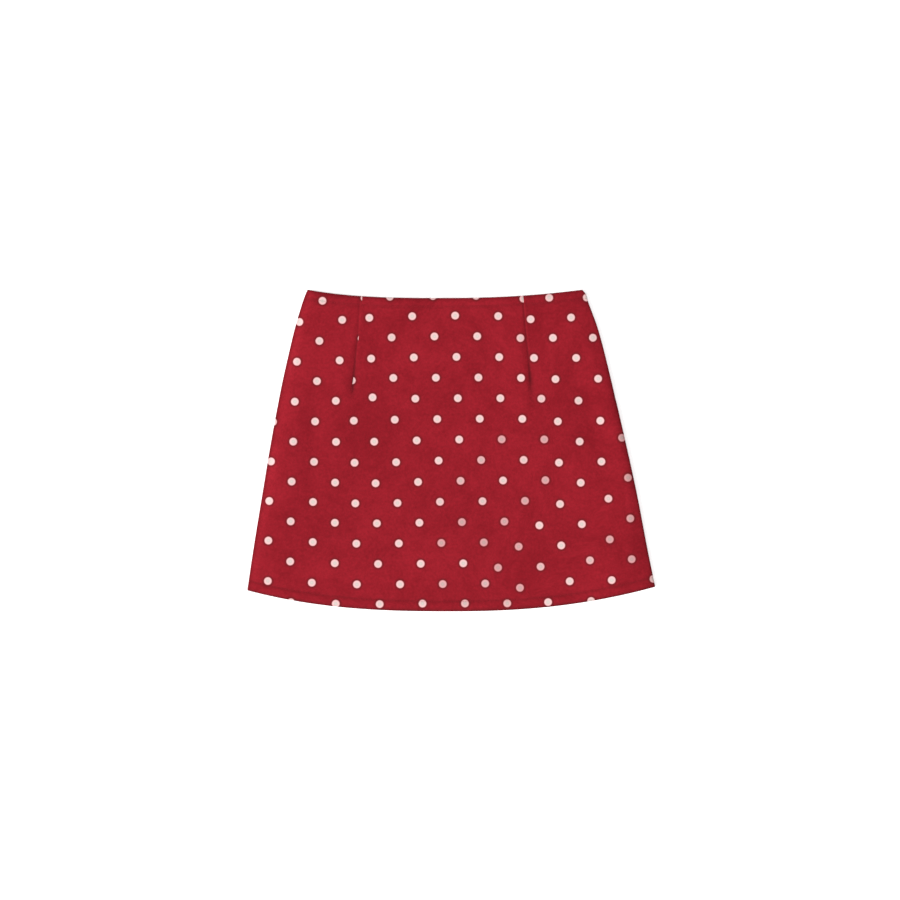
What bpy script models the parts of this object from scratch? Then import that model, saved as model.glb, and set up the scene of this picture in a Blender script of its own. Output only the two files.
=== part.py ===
"""A short a-line skirt of dotted cloth, lying flat with its front up.

The skirt is two panels that lie on each other, waist towards +Y and front towards +Z. Each panel is
one sheet of cloth whose four edges are turned under: the waist turning, the hem and the seam
allowances. The front panel has two darts. A dart is a crease from the waist to its tip, with a ridge
beside it where the taken-in cloth lies, and a soft fullness below the tip. Lengths are in metres.
"""

import math

import bmesh
import bpy
from mathutils import Vector

# Cloth
CLOTH = 0.0010  # thickness of the wall
SEAM_GAP = 0.0003  # between the pieces, and between a turning and the cloth over it

# Outline, seen from above. The origin is under the middle of the hem's width.
CENTRE_LENGTH = 0.4005  # waist to hem along the centre front
WAIST_DIP = 0.0106  # the middle of the waist edge lies below its two ends
HEM_RISE = {"left": 0.0268, "right": 0.0314}  # the hem's ends lie above its middle
WAIST_BOW = {"left": 3.0, "right": 2.2}  # exponent of the curve: a higher one has a straighter middle
HEM_BOW = {"left": 2.6, "right": 2.3}

# The side edges: how far out each lies, by the distance down from the waist's ends
SIDE_COLUMNS = ("down", "left", "right")
SIDE_TABLE = (
    (0.0000, 0.1838, 0.1672),
    (0.0060, 0.1864, 0.1722),
    (0.0160, 0.1901, 0.1751),
    (0.0460, 0.1991, 0.1862),
    (0.0770, 0.2067, 0.1949),
    (0.1230, 0.2170, 0.2061),
    (0.1920, 0.2300, 0.2222),
    (0.2610, 0.2415, 0.2373),
    (0.3300, 0.2527, 0.2505),
    (0.3825, 0.2605, 0.2612),
)

# Turnings, and the facets of a turned edge
TURNING = {"waist": 0.0125, "side": 0.010, "hem": 0.016}
FOLD_STEPS = 4
TURNING_STEPS = 2

# Darts. Their seams run from waist_x on the waist edge to the tip, which is tip_down below the
# waist's ends. inward is the way to the centre front, where the taken-in cloth lies.
DART_COLUMNS = ("waist_x", "tip_x", "tip_down", "inward", "crease", "ridge")
DART_TABLE = (
    (-0.1147, -0.1255, 0.1230, 1, 0.0010, 0.0005),
    (0.0928, 0.1030, 0.1180, -1, 0.0008, 0.0004),
)
CREASE_HALF = 0.0022
CREASE_TAIL = 0.0160  # the crease fades out over this length past the tip
CREASE_AT_WAIST = 0.15  # share of the depth that the thick waist edge keeps
RIDGE_OUT = 0.0060  # from the crease to the top of the ridge
RIDGE_HALF = 0.0060
FULLNESS = 0.0004
FULLNESS_BELOW = 0.0300  # from the tip down to the middle of the fullness
FULLNESS_REACH = 0.0450

# How the front lies over the back
RISE = 0.0003  # its middle lies higher than its edges
RISE_REACH = 0.0200  # width of the rounded slope at the edges
FLUTE_HEIGHT = 0.0002  # soft waves that run down to the hem
FLUTE_COUNT = 3.5

# Mesh lines of the panels. The first and last ones stand clear of the turnings' mitred corners.
FIRST_LINE = 0.0135
LAST_LINE = 0.3785
ROW_COLUMNS = ("down_to", "cells")
FRONT_ROWS = (
    (FIRST_LINE, 1),
    (0.0300, 2),
    (0.1155, 8),
    (0.1295, 2),
    (0.3550, 11),
    (LAST_LINE, 2),
    (CENTRE_LENGTH, 1),
)
BACK_ROWS = ((FIRST_LINE, 1), (LAST_LINE, 14), (CENTRE_LENGTH, 1))
SIDE_CELLS = 4  # between the first line and the lines at a dart
DART_STANDS = (-0.0110, -0.0032, 0.0, 0.0032, 0.0110)  # lines beside each dart seam
CENTRE_CELLS = 13
BACK_CELLS = 22
NORMAL_STEP = 0.004  # share of an edge over which its direction is taken

# Heights that follow from the cloth
FOLDED = CLOTH + SEAM_GAP + CLOTH  # a turned edge: two walls and the gap between them
FOLD_RADIUS = FOLDED / 2
FRONT_TURNING_Z = FOLDED + SEAM_GAP
FRONT_FACE_Z = FRONT_TURNING_Z + FOLDED
WAIST_END_Y = (CENTRE_LENGTH + WAIST_DIP) / 2

COLOURS = {"front_cloth": (0.300, 0.012, 0.024, 1), "back_cloth": (0.270, 0.011, 0.022, 1)}
CLOTH_ROUGHNESS = 0.85


def clear_scene():
    for item in list(bpy.data.objects):
        bpy.data.objects.remove(item, do_unlink=True)


def ease(value):
    """Goes smoothly from 0 to 1 as value does, and stays there."""
    value = min(1.0, max(0.0, value))
    return value * value * (3 - 2 * value)


def bump(distance, half):
    return math.exp(-((distance / half) ** 2))


def half_name(across):
    return "left" if across < 0 else "right"


# The outline. A place on a panel has two shares: across, from -1 at the left side edge to 1 at the
# right one, and along, from 0 at the waist edge to 1 at the hem.


def side_out(name, down):
    """Distance of a side edge from the middle, by a cubic curve through the rows of SIDE_TABLE."""
    column = SIDE_COLUMNS.index(name)
    last = len(SIDE_TABLE) - 1
    row = 0
    while row < last - 1 and down > SIDE_TABLE[row + 1][0]:
        row += 1

    def slope(index):
        before = SIDE_TABLE[max(index - 1, 0)]
        after = SIDE_TABLE[min(index + 1, last)]
        return (after[column] - before[column]) / (after[0] - before[0])

    start = SIDE_TABLE[row]
    end = SIDE_TABLE[row + 1]
    reach = end[0] - start[0]
    part = (down - start[0]) / reach
    squared = part * part
    cubed = squared * part
    value = (2 * cubed - 3 * squared + 1) * start[column]
    value += (cubed - 2 * squared + part) * reach * slope(row)
    value += (3 * squared - 2 * cubed) * end[column]
    value += (cubed - squared) * reach * slope(row + 1)
    return value


def waist_y(across):
    return WAIST_END_Y - WAIST_DIP * (1 - abs(across) ** WAIST_BOW[half_name(across)])


def hem_y(across):
    side = half_name(across)
    return -WAIST_END_Y + HEM_RISE[side] * abs(across) ** HEM_BOW[side]


def side_x(name, along):
    down = along * (2 * WAIST_END_Y - HEM_RISE[name])
    out = side_out(name, down)
    return -out if name == "left" else out


def place(across, along):
    """The point of the outline's plane at these shares."""
    left = side_x("left", along)
    right = side_x("right", along)
    x = left + (right - left) * (across + 1) / 2
    y = waist_y(across) * (1 - along) + hem_y(across) * along
    return Vector((x, y))


def shares(x, y):
    """The shares (across, along) of a point, found by a few steps towards it."""
    across = 0.0
    along = 0.5
    for _ in range(12):
        top = waist_y(across)
        along = (top - y) / (top - hem_y(across))
        left = side_x("left", along)
        right = side_x("right", along)
        across = 2 * (x - left) / (right - left) - 1
    return across, along


def edge_inward(kind, across, along):
    """Unit vector from an edge of the outline into the panel."""
    if kind == "side":
        run = place(across, min(along + NORMAL_STEP, 1)) - place(across, max(along - NORMAL_STEP, 0))
        inward = Vector((-run.y, run.x)) * -across
    else:
        run = place(min(across + NORMAL_STEP, 1), along) - place(max(across - NORMAL_STEP, -1), along)
        inward = Vector((run.y, -run.x)) if kind == "waist" else Vector((-run.y, run.x))
    return inward.normalized()


def inset(across, along, distances):
    """The outline's point moved into the panel by each edge's distance, with a mitre at a corner."""
    edges = []
    if abs(across) == 1:
        edges.append("side")
    if along in (0, 1):
        edges.append("hem" if along else "waist")
    point = place(across, along)
    first = edge_inward(edges[0], across, along)
    if len(edges) == 1:
        return point + first * distances[edges[0]]
    second = edge_inward(edges[1], across, along)
    turn = first.cross(second)
    wanted = Vector((distances[edges[0]], distances[edges[1]]))
    shift_x = (wanted.x * second.y - wanted.y * first.y) / turn
    shift_y = (wanted.y * first.x - wanted.x * second.x) / turn
    return point + Vector((shift_x, shift_y))


# The darts


def read_darts():
    """Each row of DART_TABLE by its columns' names, with its seam's two ends and its tip's shares."""
    darts = []
    for row in DART_TABLE:
        dart = dict(zip(DART_COLUMNS, row))
        across, _ = shares(dart["waist_x"], WAIST_END_Y - WAIST_DIP)
        dart["start"] = Vector((dart["waist_x"], waist_y(across)))
        dart["tip"] = Vector((dart["tip_x"], WAIST_END_Y - dart["tip_down"]))
        dart["tip_across"], dart["tip_along"] = shares(dart["tip"].x, dart["tip"].y)
        darts.append(dart)
    return darts


DARTS = read_darts()


def dart_across(dart, along):
    """Where the dart's mesh line crosses a row: on its seam, and straight down below its tip."""
    if along >= dart["tip_along"]:
        return dart["tip_across"]
    seam_x = dart["start"].x + (dart["tip"].x - dart["start"].x) * along / dart["tip_along"]
    left = side_x("left", along)
    right = side_x("right", along)
    return 2 * (seam_x - left) / (right - left) - 1


def dart_relief(dart, point, along):
    """Height that a dart adds to the front: its crease, its ridge and the fullness at its tip."""
    seam = dart["tip"] - dart["start"]
    run = seam.normalized()
    offset = point - dart["start"]
    down_seam = offset.dot(run)
    toward_centre = dart["inward"] * (offset.x * -run.y + offset.y * run.x)
    part = down_seam / seam.length
    past_tip = down_seam - seam.length
    depth = dart["crease"] * (0.55 + 0.45 * min(part, 1)) * (1 - ease(past_tip / CREASE_TAIL))
    off_waist = ease((along * CENTRE_LENGTH - TURNING["waist"]) / TURNING["waist"])
    depth *= CREASE_AT_WAIST + (1 - CREASE_AT_WAIST) * off_waist
    height = -depth * bump(toward_centre, CREASE_HALF)
    height += dart["ridge"] * (1 - ease(part)) * bump(toward_centre - RIDGE_OUT, RIDGE_HALF)
    middle = dart["tip"] + run * FULLNESS_BELOW
    height += FULLNESS * bump((point - middle).length, FULLNESS_REACH)
    return height


# The panels


def rounded(from_edge):
    """Goes from 0 at an edge to 1 at RISE_REACH from it, most steeply at the edge."""
    part = min(1.0, from_edge / RISE_REACH)
    return 1 - (1 - part) ** 2


def front_height(across, along):
    """Top of the front's cloth over the surface that the skirt lies on."""
    point = place(across, along)
    from_side = (1 - abs(across)) * (side_x("right", along) - side_x("left", along)) / 2
    from_waist = along * CENTRE_LENGTH
    from_hem = (1 - along) * CENTRE_LENGTH
    inside = rounded(from_side) * rounded(from_waist) * rounded(from_hem)
    height = FRONT_FACE_Z + RISE * inside
    height += FLUTE_HEIGHT * math.sin(FLUTE_COUNT * math.pi * across) * ease(along) * inside
    for dart in DARTS:
        height += dart_relief(dart, point, along)
    return height


def back_height(across, along):
    """The back's outer face lies flat on the surface."""
    return 0.0


def row_lines(table):
    """Shares along the panel of its mesh rows, from a table of ROW_COLUMNS."""
    lines = [0.0]
    start = 0.0
    for down_to, cells in table:
        for cell in range(1, cells + 1):
            lines.append((start + (down_to - start) * cell / cells) / CENTRE_LENGTH)
        start = down_to
    lines[-1] = 1.0
    return lines


def front_columns(along):
    """Shares across the front of its mesh columns in one row: close together at the dart seams."""
    half_width = (side_x("right", along) - side_x("left", along)) / 2
    stands = [stand / half_width for stand in DART_STANDS]
    left_dart, right_dart = [dart_across(dart, along) for dart in DARTS]
    left_lines = [left_dart + stand for stand in stands]
    right_lines = [right_dart + stand for stand in stands]
    gap = right_lines[0] - left_lines[-1]
    centre = [left_lines[-1] + gap * cell / CENTRE_CELLS for cell in range(1, CENTRE_CELLS)]
    first = FIRST_LINE / half_width
    left_reach = left_lines[0] + 1 - first
    right_reach = 1 - first - right_lines[-1]
    left_side = [-1 + first + left_reach * cell / SIDE_CELLS for cell in range(SIDE_CELLS)]
    right_side = [1 - first - right_reach * cell / SIDE_CELLS for cell in reversed(range(SIDE_CELLS))]
    return [-1.0] + left_side + left_lines + centre + right_lines + right_side + [1.0]


def back_columns(along):
    """Shares across the back of its mesh columns in one row: evenly spaced between the turnings."""
    half_width = (side_x("right", along) - side_x("left", along)) / 2
    first = FIRST_LINE / half_width
    middle = [(2 * cell / BACK_CELLS - 1) * (1 - first) for cell in range(BACK_CELLS + 1)]
    return [-1.0] + middle + [1.0]


def build_panel(name, rows, columns_at, height_at, turning_z, collection):
    """A panel: a grid shaped to the face, its border rolled under, and a wall given to the whole.

    height_at gives the face's height, and turning_z the height of the turned cloth's outer side.
    """
    columns = [columns_at(along) for along in rows]
    bm = bmesh.new()
    across_layer = bm.verts.layers.float.new("across")
    along_layer = bm.verts.layers.float.new("along")
    column_cells = len(columns[0]) - 1
    row_cells = len(rows) - 1
    bmesh.ops.create_grid(bm, x_segments=column_cells, y_segments=row_cells, size=1)
    for vert in bm.verts:
        column = round((vert.co.x + 1) / 2 * column_cells)
        row = round((1 - vert.co.y) / 2 * row_cells)
        across = columns[row][column]
        along = rows[row]
        vert[across_layer] = across
        vert[along_layer] = along
        if vert.is_boundary:
            point = inset(across, along, dict.fromkeys(TURNING, FOLD_RADIUS))
        else:
            point = place(across, along)
        vert.co = (point.x, point.y, height_at(across, along))

    def add_ring(distances, turn):
        """Extends the border by one ring, at this turn round the folded edge."""
        border = [edge for edge in bm.edges if edge.is_boundary]
        made = bmesh.ops.extrude_edge_only(bm, edges=border)["geom"]
        for vert in made:
            if not isinstance(vert, bmesh.types.BMVert):
                continue
            across = round(vert[across_layer], 6)
            along = round(vert[along_layer], 6)
            point = inset(across, along, distances)
            face_z = height_at(across, along)
            middle = (face_z + turning_z) / 2
            vert.co = (point.x, point.y, middle + (face_z - middle) * math.cos(turn))

    for step in range(1, FOLD_STEPS + 1):
        turn = math.pi * step / FOLD_STEPS
        add_ring(dict.fromkeys(TURNING, FOLD_RADIUS * (1 - math.sin(turn))), turn)
    for step in range(1, TURNING_STEPS + 1):
        reach = step / TURNING_STEPS
        widths = {kind: FOLD_RADIUS + (width - FOLD_RADIUS) * reach for kind, width in TURNING.items()}
        add_ring(widths, math.pi)

    face_is_below = turning_z > height_at(0.0, 0.5)
    if face_is_below:
        bmesh.ops.reverse_faces(bm, faces=bm.faces)
    mesh = bpy.data.meshes.new(name)
    bm.to_mesh(mesh)
    bm.free()
    panel = bpy.data.objects.new(name, mesh)
    collection.objects.link(panel)
    wall = panel.modifiers.new("wall", "SOLIDIFY")
    wall.thickness = CLOTH
    wall.offset = -1
    mesh.shade_smooth()
    mesh.set_sharp_from_angle(angle=math.radians(50))
    return panel


def cloth_material(name):
    material = bpy.data.materials.new(name)
    material.use_nodes = True
    shader = material.node_tree.nodes["Principled BSDF"]
    shader.inputs["Base Color"].default_value = COLOURS[name]
    shader.inputs["Roughness"].default_value = CLOTH_ROUGHNESS
    shader.inputs["Metallic"].default_value = 0.0
    return material


def main():
    clear_scene()
    skirt = bpy.data.collections.new("a_line_skirt")
    bpy.context.scene.collection.children.link(skirt)
    front = build_panel(
        "front_panel", row_lines(FRONT_ROWS), front_columns, front_height, FRONT_TURNING_Z, skirt
    )
    front.data.materials.append(cloth_material("front_cloth"))
    back = build_panel("back_panel", row_lines(BACK_ROWS), back_columns, back_height, FOLDED, skirt)
    back.data.materials.append(cloth_material("back_cloth"))


main()
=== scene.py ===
import math

import bpy
import numpy as np
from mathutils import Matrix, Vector, noise


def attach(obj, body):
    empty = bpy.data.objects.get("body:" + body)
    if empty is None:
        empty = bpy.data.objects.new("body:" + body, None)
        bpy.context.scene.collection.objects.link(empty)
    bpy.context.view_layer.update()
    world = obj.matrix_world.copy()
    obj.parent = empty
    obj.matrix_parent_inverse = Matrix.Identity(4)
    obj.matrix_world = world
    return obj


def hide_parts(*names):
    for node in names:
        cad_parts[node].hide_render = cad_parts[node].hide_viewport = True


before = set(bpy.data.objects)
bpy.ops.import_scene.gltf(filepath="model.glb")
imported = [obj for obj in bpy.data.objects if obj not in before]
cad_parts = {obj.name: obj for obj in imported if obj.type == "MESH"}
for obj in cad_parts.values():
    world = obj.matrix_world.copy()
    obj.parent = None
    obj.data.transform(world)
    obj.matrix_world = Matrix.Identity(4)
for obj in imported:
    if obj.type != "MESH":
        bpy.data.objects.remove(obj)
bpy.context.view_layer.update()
scene = bpy.context.scene
scene.view_settings.view_transform = "Standard"
print("frame loaded:", sorted(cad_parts))

# The outline of the laid skirt seen from above, in metres: x to the right, y towards the waist
outline = {
    "centreLength": 0.4005,  # waist to hem down the middle
    "waistDip": 0.0106,  # the middle of the waist edge lies below its ends
    "hemRise": {"left": 0.0268, "right": 0.0314},  # the hem's ends lie above its middle
    "waistBow": {"left": 3.0, "right": 2.2},  # a higher one has a straighter middle
    "hemBow": {"left": 2.6, "right": 2.3},
    # how far out the side edges are, by the distance down from the waist's ends
    "down": [0, 0.006, 0.016, 0.046, 0.077, 0.123, 0.192, 0.261, 0.330, 0.3825],
    "left": [0.1838, 0.1864, 0.1901, 0.1991, 0.2067, 0.2170, 0.2300, 0.2415, 0.2527, 0.2605],
    "right": [0.1672, 0.1722, 0.1751, 0.1862, 0.1949, 0.2061, 0.2222, 0.2373, 0.2505, 0.2612],
}
waistEnd = (outline["centreLength"] + outline["waistDip"]) / 2


def ease(value):
    value = np.clip(value, 0, 1)
    return value * value * (3 - 2 * value)


def fadeIn(value, start, width):
    return ease((value - start) / width)


def bump(distance, half):
    return np.exp(-((distance / half) ** 2))


def alongTable(value, steps, amounts):
    # smooth curve through a short table
    steps = np.asarray(steps, float)
    amounts = np.asarray(amounts, float)
    last = len(steps) - 1
    before = np.maximum(np.arange(last + 1) - 1, 0)
    after = np.minimum(np.arange(last + 1) + 1, last)
    slopes = (amounts[after] - amounts[before]) / (steps[after] - steps[before])
    value = np.clip(value, steps[0], steps[-1])
    cell = np.clip(np.searchsorted(steps, value) - 1, 0, last - 1)
    reach = steps[cell + 1] - steps[cell]
    part = (value - steps[cell]) / reach
    squared = part**2
    cubed = part**3
    found = (2 * cubed - 3 * squared + 1) * amounts[cell]
    found = found + (cubed - 2 * squared + part) * reach * slopes[cell]
    found = found + (3 * squared - 2 * cubed) * amounts[cell + 1]
    return found + (cubed - squared) * reach * slopes[cell + 1]


# A place on a panel has two shares: across, -1 at the left side edge to 1 at the right one,
# and along, 0 at the waist edge to 1 at the hem


def bowed(across, bow):
    return np.abs(across) ** np.where(across < 0, bow["left"], bow["right"])


def waistY(across):
    return waistEnd - outline["waistDip"] * (1 - bowed(across, outline["waistBow"]))


def hemY(across):
    rise = np.where(across < 0, outline["hemRise"]["left"], outline["hemRise"]["right"])
    return -waistEnd + rise * bowed(across, outline["hemBow"])


def sideX(side, along):
    down = along * (2 * waistEnd - outline["hemRise"][side])
    out = alongTable(down, outline["down"], outline[side])
    return -out if side == "left" else out


def halfWidthAt(along):
    return (sideX("right", along) - sideX("left", along)) / 2


def placeOf(across, along):
    left = sideX("left", along)
    right = sideX("right", along)
    x = left + (right - left) * (across + 1) / 2
    y = waistY(across) * (1 - along) + hemY(across) * along
    return x, y


def acrossAt(x, along):
    left = sideX("left", along)
    return 2 * (x - left) / (sideX("right", along) - left) - 1


def sharesOf(x, y):
    # the other way round, from a first guess that settles well within the rounds
    across = np.float64(0)
    along = np.float64(0.5)
    for _ in range(14):
        along = (waistY(across) - y) / (waistY(across) - hemY(across))
        across = acrossAt(x, along)
    return across, along


# Darts of the front. part runs down the seam, 0 at the waist edge and 1 at the tip, and past it.
# In mm by part: how far the cloth dips, where the dip lies from the seam, how wide its slopes
# are, how high the cloth swells beyond them, and the half width of a painted dark line of shade in
# the dip. slow is the share of the dip that the cloth on the right only makes good further on, and
# the darkness of the painted shade line, 0 to 1
darts = {
    "left": {
        "waistX": -0.1136,
        "tipX": -0.1268,
        "tipDown": 0.1230,
        "bend": 0.42,  # the seam's lower end turns outwards
        "part": [0, 0.08, 0.35, 0.60, 0.80, 0.95, 1.03, 1.08, 1.16],
        "depth": [0.15, 0.30, 0.40, 0.60, 0.85, 1.10, 1.00, 0.50, 0.0],
        "lies": [-3.2, -3.0, -1.9, -1.2, -0.3, 0.6, 1.6, 2.0, 2.0],
        "leftWall": [1.8, 2.0, 2.0, 3.0, 4.6, 5.6, 5.6, 6.0, 7.0],
        "rightWall": [1.6, 1.8, 1.6, 1.4, 1.1, 1.1, 1.6, 2.5, 4.0],
        "slow": [0.0, 0.0, 0.1, 0.35, 0.75, 0.85, 0.85, 0.8, 0.8],
        "leftCrest": [0.0, 0.1, 0.2, 0.30, 0.40, 0.40, 0.35, 0.20, 0.0],
        "rightCrest": [0.0, 0.15, 0.15, 0.15, 0.05, 0.0, 0.0, 0.0, 0.0],
        "crack": [0.10, 0.12, 0.30, 0.48, 0.72, 0.95, 0.82, 0.28, 0.0],
        "crackHalf": [0.8, 0.8, 0.8, 1.1, 1.6, 2.2, 2.5, 2.6, 2.6],
    },
    "right": {
        "waistX": 0.0918,
        "tipX": 0.1020,
        "tipDown": 0.1180,
        "bend": 0.0,
        "part": [0, 0.08, 0.35, 0.60, 0.80, 0.95, 1.05, 1.16, 1.34],
        "depth": [0.15, 0.35, 0.45, 0.60, 0.75, 0.85, 0.75, 0.40, 0.0],
        "lies": [-0.8, -0.8, -0.8, -0.5, -0.6, -0.6, -0.6, -0.6, -0.6],
        "leftWall": [1.0, 1.1, 1.6, 3.6, 4.4, 3.4, 3.6, 4.5, 6.0],
        "rightWall": [1.0, 1.0, 1.0, 1.0, 1.4, 2.2, 3.0, 4.0, 6.0],
        "slow": [0.0, 0.0, 0.1, 0.3, 0.6, 0.8, 0.8, 0.8, 0.8],
        "leftCrest": [0.0, 0.1, 0.2, 0.30, 0.35, 0.30, 0.25, 0.15, 0.0],
        "rightCrest": [0.0, 0.15, 0.2, 0.10, 0.0, 0.0, 0.0, 0.0, 0.0],
        "crack": [0.15, 0.50, 0.50, 0.50, 0.75, 1.0, 0.45, 0.20, 0.0],
        "crackHalf": [0.8, 0.8, 0.9, 1.0, 1.5, 2.3, 2.8, 3.2, 3.5],
    },
}
for dart in darts.values():
    startAcross = acrossAt(dart["waistX"], 0.0)
    dart["start"] = Vector((dart["waistX"], float(waistY(startAcross))))
    dart["tip"] = Vector((dart["tipX"], waistEnd - dart["tipDown"]))
    dart["tipAcross"], dart["tipAlong"] = sharesOf(*dart["tip"])


def seamX(dart, part):
    # x of the seam, going straight on past its tip
    past = np.clip(part - 1, 0, None)
    held = np.clip(part, 0, 1)
    turned = held + dart["bend"] * held * (held - 1) + past * (1 + dart["bend"])
    return dart["waistX"] + (dart["tipX"] - dart["waistX"]) * turned


def dartAcross(dart, along):
    # a mesh line down the seam, and straight on below its tip
    across = acrossAt(seamX(dart, along / dart["tipAlong"]), along)
    return np.where(along < dart["tipAlong"], across, dart["tipAcross"])


dartTables = "depth lies leftWall rightWall slow leftCrest rightCrest crack crackHalf".split()
dartShape = {
    "pointed": (1.15, 2.0),  # down to a tip and past it: 1 is a sharp trough, 2 a round one
    "rounds": (0.9, 0.2),  # where the one turns into the other, by part, and over how much
    "slowReach": 18.0,  # mm
    # middle and half width of the swell beyond each wall, in widths of the wall
    "crests": {"left": (-1.9, 1.6), "right": (2.2, 1.8)},
    # share of the dip's depth that darkens it with painted shade
    "shade": 0.2,
}


def dartRelief(dart, x, y):
    # height in metres, and how dark the painted shade in the dip is, 0 to 1
    part = (dart["start"].y - y) / (dart["start"].y - dart["tip"].y)
    here = {key: np.interp(part, dart["part"], dart[key]) for key in dartTables}
    right = (x - seamX(dart, part)) * 1000 - here["lies"]
    wall = np.where(right < 0, here["leftWall"], here["rightWall"])
    pointed, rounder = dartShape["pointed"]
    sharp = pointed + (rounder - pointed) * fadeIn(part, *dartShape["rounds"])
    near = np.exp(-(np.abs(right / wall) ** sharp))
    far = np.exp(-np.clip(right, 0, None) / dartShape["slowReach"])
    slow = np.where(right < 0, 0, here["slow"])
    relief = -here["depth"] * (near * (1 - slow) + far * slow)
    for side, (lies, half) in dartShape["crests"].items():
        wide = here[side + "Wall"]
        relief = relief + here[side + "Crest"] * bump(right - wide * lies, wide * half)
    crack = here["crack"] * bump(right, here["crackHalf"])
    return relief / 1000, crack + here["depth"] * near * dartShape["shade"]


# Front panel, metres
frontForm = {
    "wall": 0.0006,
    "fold": 0.0015,  # thickness of a turned edge
    "level": 0.0052,  # top of the cloth over the middle
    # places along an edge from its waist or left end, and there how far the cloth falls and over
    # what width, in mm
    "fall": {
        "left": ((0, 0.2, 0.7, 0.86, 1), (1.9, 2.4, 2.1, 1.3, 0.5), (12, 14, 15, 13, 12)),
        "right": (
            (0, 0.2, 0.4, 0.68, 0.84, 1),
            (2.2, 1.8, 1.5, 1.6, 2.2, 2.3),
            (45, 20, 10, 12, 24, 22),
        ),
        "waist": ((-1, 0, 1), (1.2, 1.3, 1.3), (6, 7, 7)),
        "hem": ((-1, 0, 1), (1.3, 1.2, 1.5), (6, 7, 8)),
    },
    "leftRoll": 0.85,  # the left edge is rolled under, so it is steepest a little way in
    "turning": {"waist": 0.0125, "side": 0.0100, "hem": 0.0160},
    "stitchLine": {"waist": 0.0112, "hem": 0.0130},
    "stitchSink": 0.00032,
    "stitchSinkHalf": 0.0020,
    "stitchEnd": 0.0040,  # the cloth sinks less near the side edges
    "stitchShade": 0.35,
    "sideRidge": (0.0270, 0.0170, 0.00060),  # in from the left edge, half width, height
    # painted shade: how strongly each edge is darkened
    "edgeShade": {"left": 1.2, "right": 1.15, "waist": 1.1, "hem": 1.8},
    "uneven": ((0.034, 1.7, 0.00018), (0.013, 5.2, 0.000048)),  # width, seed, height
    "unevenDetail": (0.8, 2.1, 3),  # how smooth, gap between layers, number of layers
    "calmHem": (0.006, 0.040),  # where the ridge and the unevenness start, and over what width
    "calmWaist": (0.0, 0.050),
    "dartStart": (0.001, 0.008),  # and a dart's relief, of which a share stays at the edge
    "dartShare": 0.25,
}
# Soft folds and hollows, given one by one: middle x and y, direction, half length, half width,
# height
softFolds = [
    (-0.200, 0.010, 86, 0.080, 0.013, 0.00050),
    (-0.175, 0.012, 88, 0.085, 0.014, -0.00060),
    (-0.060, 0.020, 84, 0.110, 0.022, -0.00020),
    (0.000, -0.115, 86, 0.080, 0.030, 0.00040),
    (0.068, -0.120, 92, 0.080, 0.024, -0.00040),
    (0.135, -0.120, 98, 0.060, 0.020, 0.00035),
    (0.182, 0.030, 106, 0.065, 0.016, -0.00125),
    (0.222, -0.060, 99, 0.055, 0.016, 0.00060),
    (0.206, -0.138, 100, 0.038, 0.024, 0.00095),
    (-0.115, -0.125, 82, 0.060, 0.024, 0.00025),
    (-0.010, 0.165, 4, 0.080, 0.012, 0.00020),
]


def unevenCloth(x, y, scale, seed):
    points = zip(np.ravel(x) / scale, np.ravel(y) / scale)
    detail = frontForm["unevenDetail"]
    found = [noise.fractal(Vector((px, py, seed)), *detail) for px, py in points]
    return np.array(found).reshape(np.shape(x))


def foldRelief(x, y, folds):
    height = np.zeros(np.shape(x))
    for middleX, middleY, angle, halfLength, halfWidth, tall in folds:
        turn = math.radians(angle)
        along = (x - middleX) * math.cos(turn) + (y - middleY) * math.sin(turn)
        side = (y - middleY) * math.cos(turn) - (x - middleX) * math.sin(turn)
        height = height + tall * bump(along, halfLength) * bump(side, halfWidth)
    return height


def edgeDistances(across, along):
    halfWidth = halfWidthAt(along)
    return {
        "left": (across + 1) * halfWidth,
        "right": (1 - across) * halfWidth,
        "waist": along * outline["centreLength"],
        "hem": (1 - along) * outline["centreLength"],
    }


# how far the cloth sinks along the stitch lines; the same share also sets the painted shade there
def stitchSink(form, distances):
    sunk = 0
    for edge, line in form["stitchLine"].items():
        sunk = sunk + bump(distances[edge] - line, form["stitchSinkHalf"])
    sides = np.minimum(distances["left"], distances["right"])
    return sunk * ease(sides / form["stitchEnd"])


def frontSurface(across, along):
    # height of the front's outer side, and how much painted shade a point gets where it is sunk, 0
    # to 1
    form = frontForm
    x, y = placeOf(across, along)
    distances = edgeDistances(across, along)
    kept = 1
    weight = 1e-6
    dropHere = 0
    for edge, (steps, drops, reaches) in form["fall"].items():
        position = along if edge in ("left", "right") else across
        reach = np.interp(position, steps, reaches) / 1000
        drop = np.interp(position, steps, drops) / 1000
        inward = np.clip(distances[edge] / reach, 0, 1)
        fall = 1 - ease(inward ** form["leftRoll"]) if edge == "left" else (1 - inward) ** 2
        kept = kept * (1 - fall)
        weight = weight + fall
        dropHere = dropHere + fall * drop
    height = form["level"] - dropHere / weight * (1 - kept)
    inside = kept * fadeIn(distances["hem"], *form["calmHem"])
    inside = inside * fadeIn(distances["waist"], *form["calmWaist"])
    ridgeIn, ridgeHalf, ridgeTall = form["sideRidge"]
    height = height + ridgeTall * bump(distances["left"] - ridgeIn, ridgeHalf) * inside
    height = height + foldRelief(x, y, softFolds) * kept
    for width, seed, tall in form["uneven"]:
        height = height + tall * unevenCloth(x, y, width, seed) * inside
    sunk = stitchSink(form, distances)
    height = height - form["stitchSink"] * sunk
    # painted shade along the stitch lines
    sunk = sunk * form["stitchShade"]
    share = form["dartShare"]
    share = share + (1 - share) * fadeIn(distances["waist"], *form["dartStart"])
    # each dart adds its painted shade in the dip
    for dart in darts.values():
        relief, depth = dartRelief(dart, x, y)
        height = height + relief * share
        sunk = np.maximum(sunk, depth)
    return height, np.clip(sunk, 0, 1)


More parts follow.
